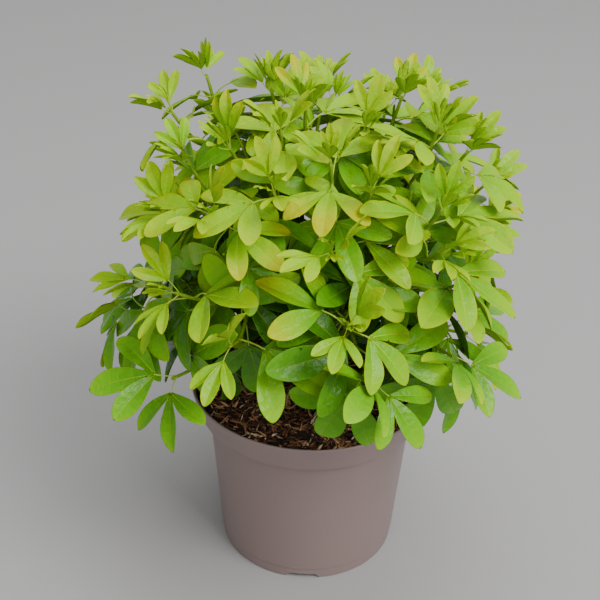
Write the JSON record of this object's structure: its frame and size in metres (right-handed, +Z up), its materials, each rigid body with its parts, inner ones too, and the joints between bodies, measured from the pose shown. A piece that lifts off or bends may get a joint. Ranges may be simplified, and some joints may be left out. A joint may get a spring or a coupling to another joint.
{
  "type": "potted mexican orange blossom",
  "caption": "Rounded evergreen shrub with golden leaves in threes on short branches, growing in a plain taupe nursery pot filled with bark mulch.",
  "frame": {"origin": "centre of the pot's underside, on the surface that the pot stands on", "axes": "+Z up along the pot's axis; -Y towards the front of the plant as pictured; +X to its right"},
  "size_m": [0.3982, 0.4134, 0.5025],
  "materials": {
    "pot_plastic": "matt taupe",
    "bark_mulch": "shredded, dull",
    "green_bark": "young bark",
    "golden_leaf": "glossy leaf"
  },
  "bodies": {
    "root": {"pot": "pot_plastic", "soil": "bark_mulch", "trunk": "green_bark", "bough_01": "green_bark", "bough_02": "green_bark", "bough_03": "green_bark", "bough_04": "green_bark", "bough_05": "green_bark", "bough_06": "green_bark", "bough_07": "green_bark", "bough_08": "green_bark", "bough_09": "green_bark", "bough_10": "green_bark", "bough_11": "green_bark", "bough_12": "green_bark", "bough_13": "green_bark", "bough_14": "green_bark", "bough_15": "green_bark", "bough_16": "green_bark", "bough_17": "green_bark", "bough_18": "green_bark", "bough_19": "green_bark", "bough_20": "green_bark", "bough_21": "green_bark", "bough_22": "green_bark", "foliage_01": "golden_leaf", "foliage_02": "golden_leaf", "foliage_03": "golden_leaf", "foliage_04": "golden_leaf", "foliage_05": "golden_leaf", "foliage_06": "golden_leaf", "foliage_07": "golden_leaf", "foliage_08": "golden_leaf", "foliage_09": "golden_leaf", "foliage_10": "golden_leaf", "foliage_11": "golden_leaf", "foliage_12": "golden_leaf", "foliage_13": "golden_leaf", "foliage_14": "golden_leaf", "foliage_15": "golden_leaf", "foliage_16": "golden_leaf", "foliage_17": "golden_leaf", "foliage_18": "golden_leaf", "foliage_19": "golden_leaf", "foliage_20": "golden_leaf", "foliage_21": "golden_leaf", "foliage_22": "golden_leaf"}
  },
  "joints": []
}
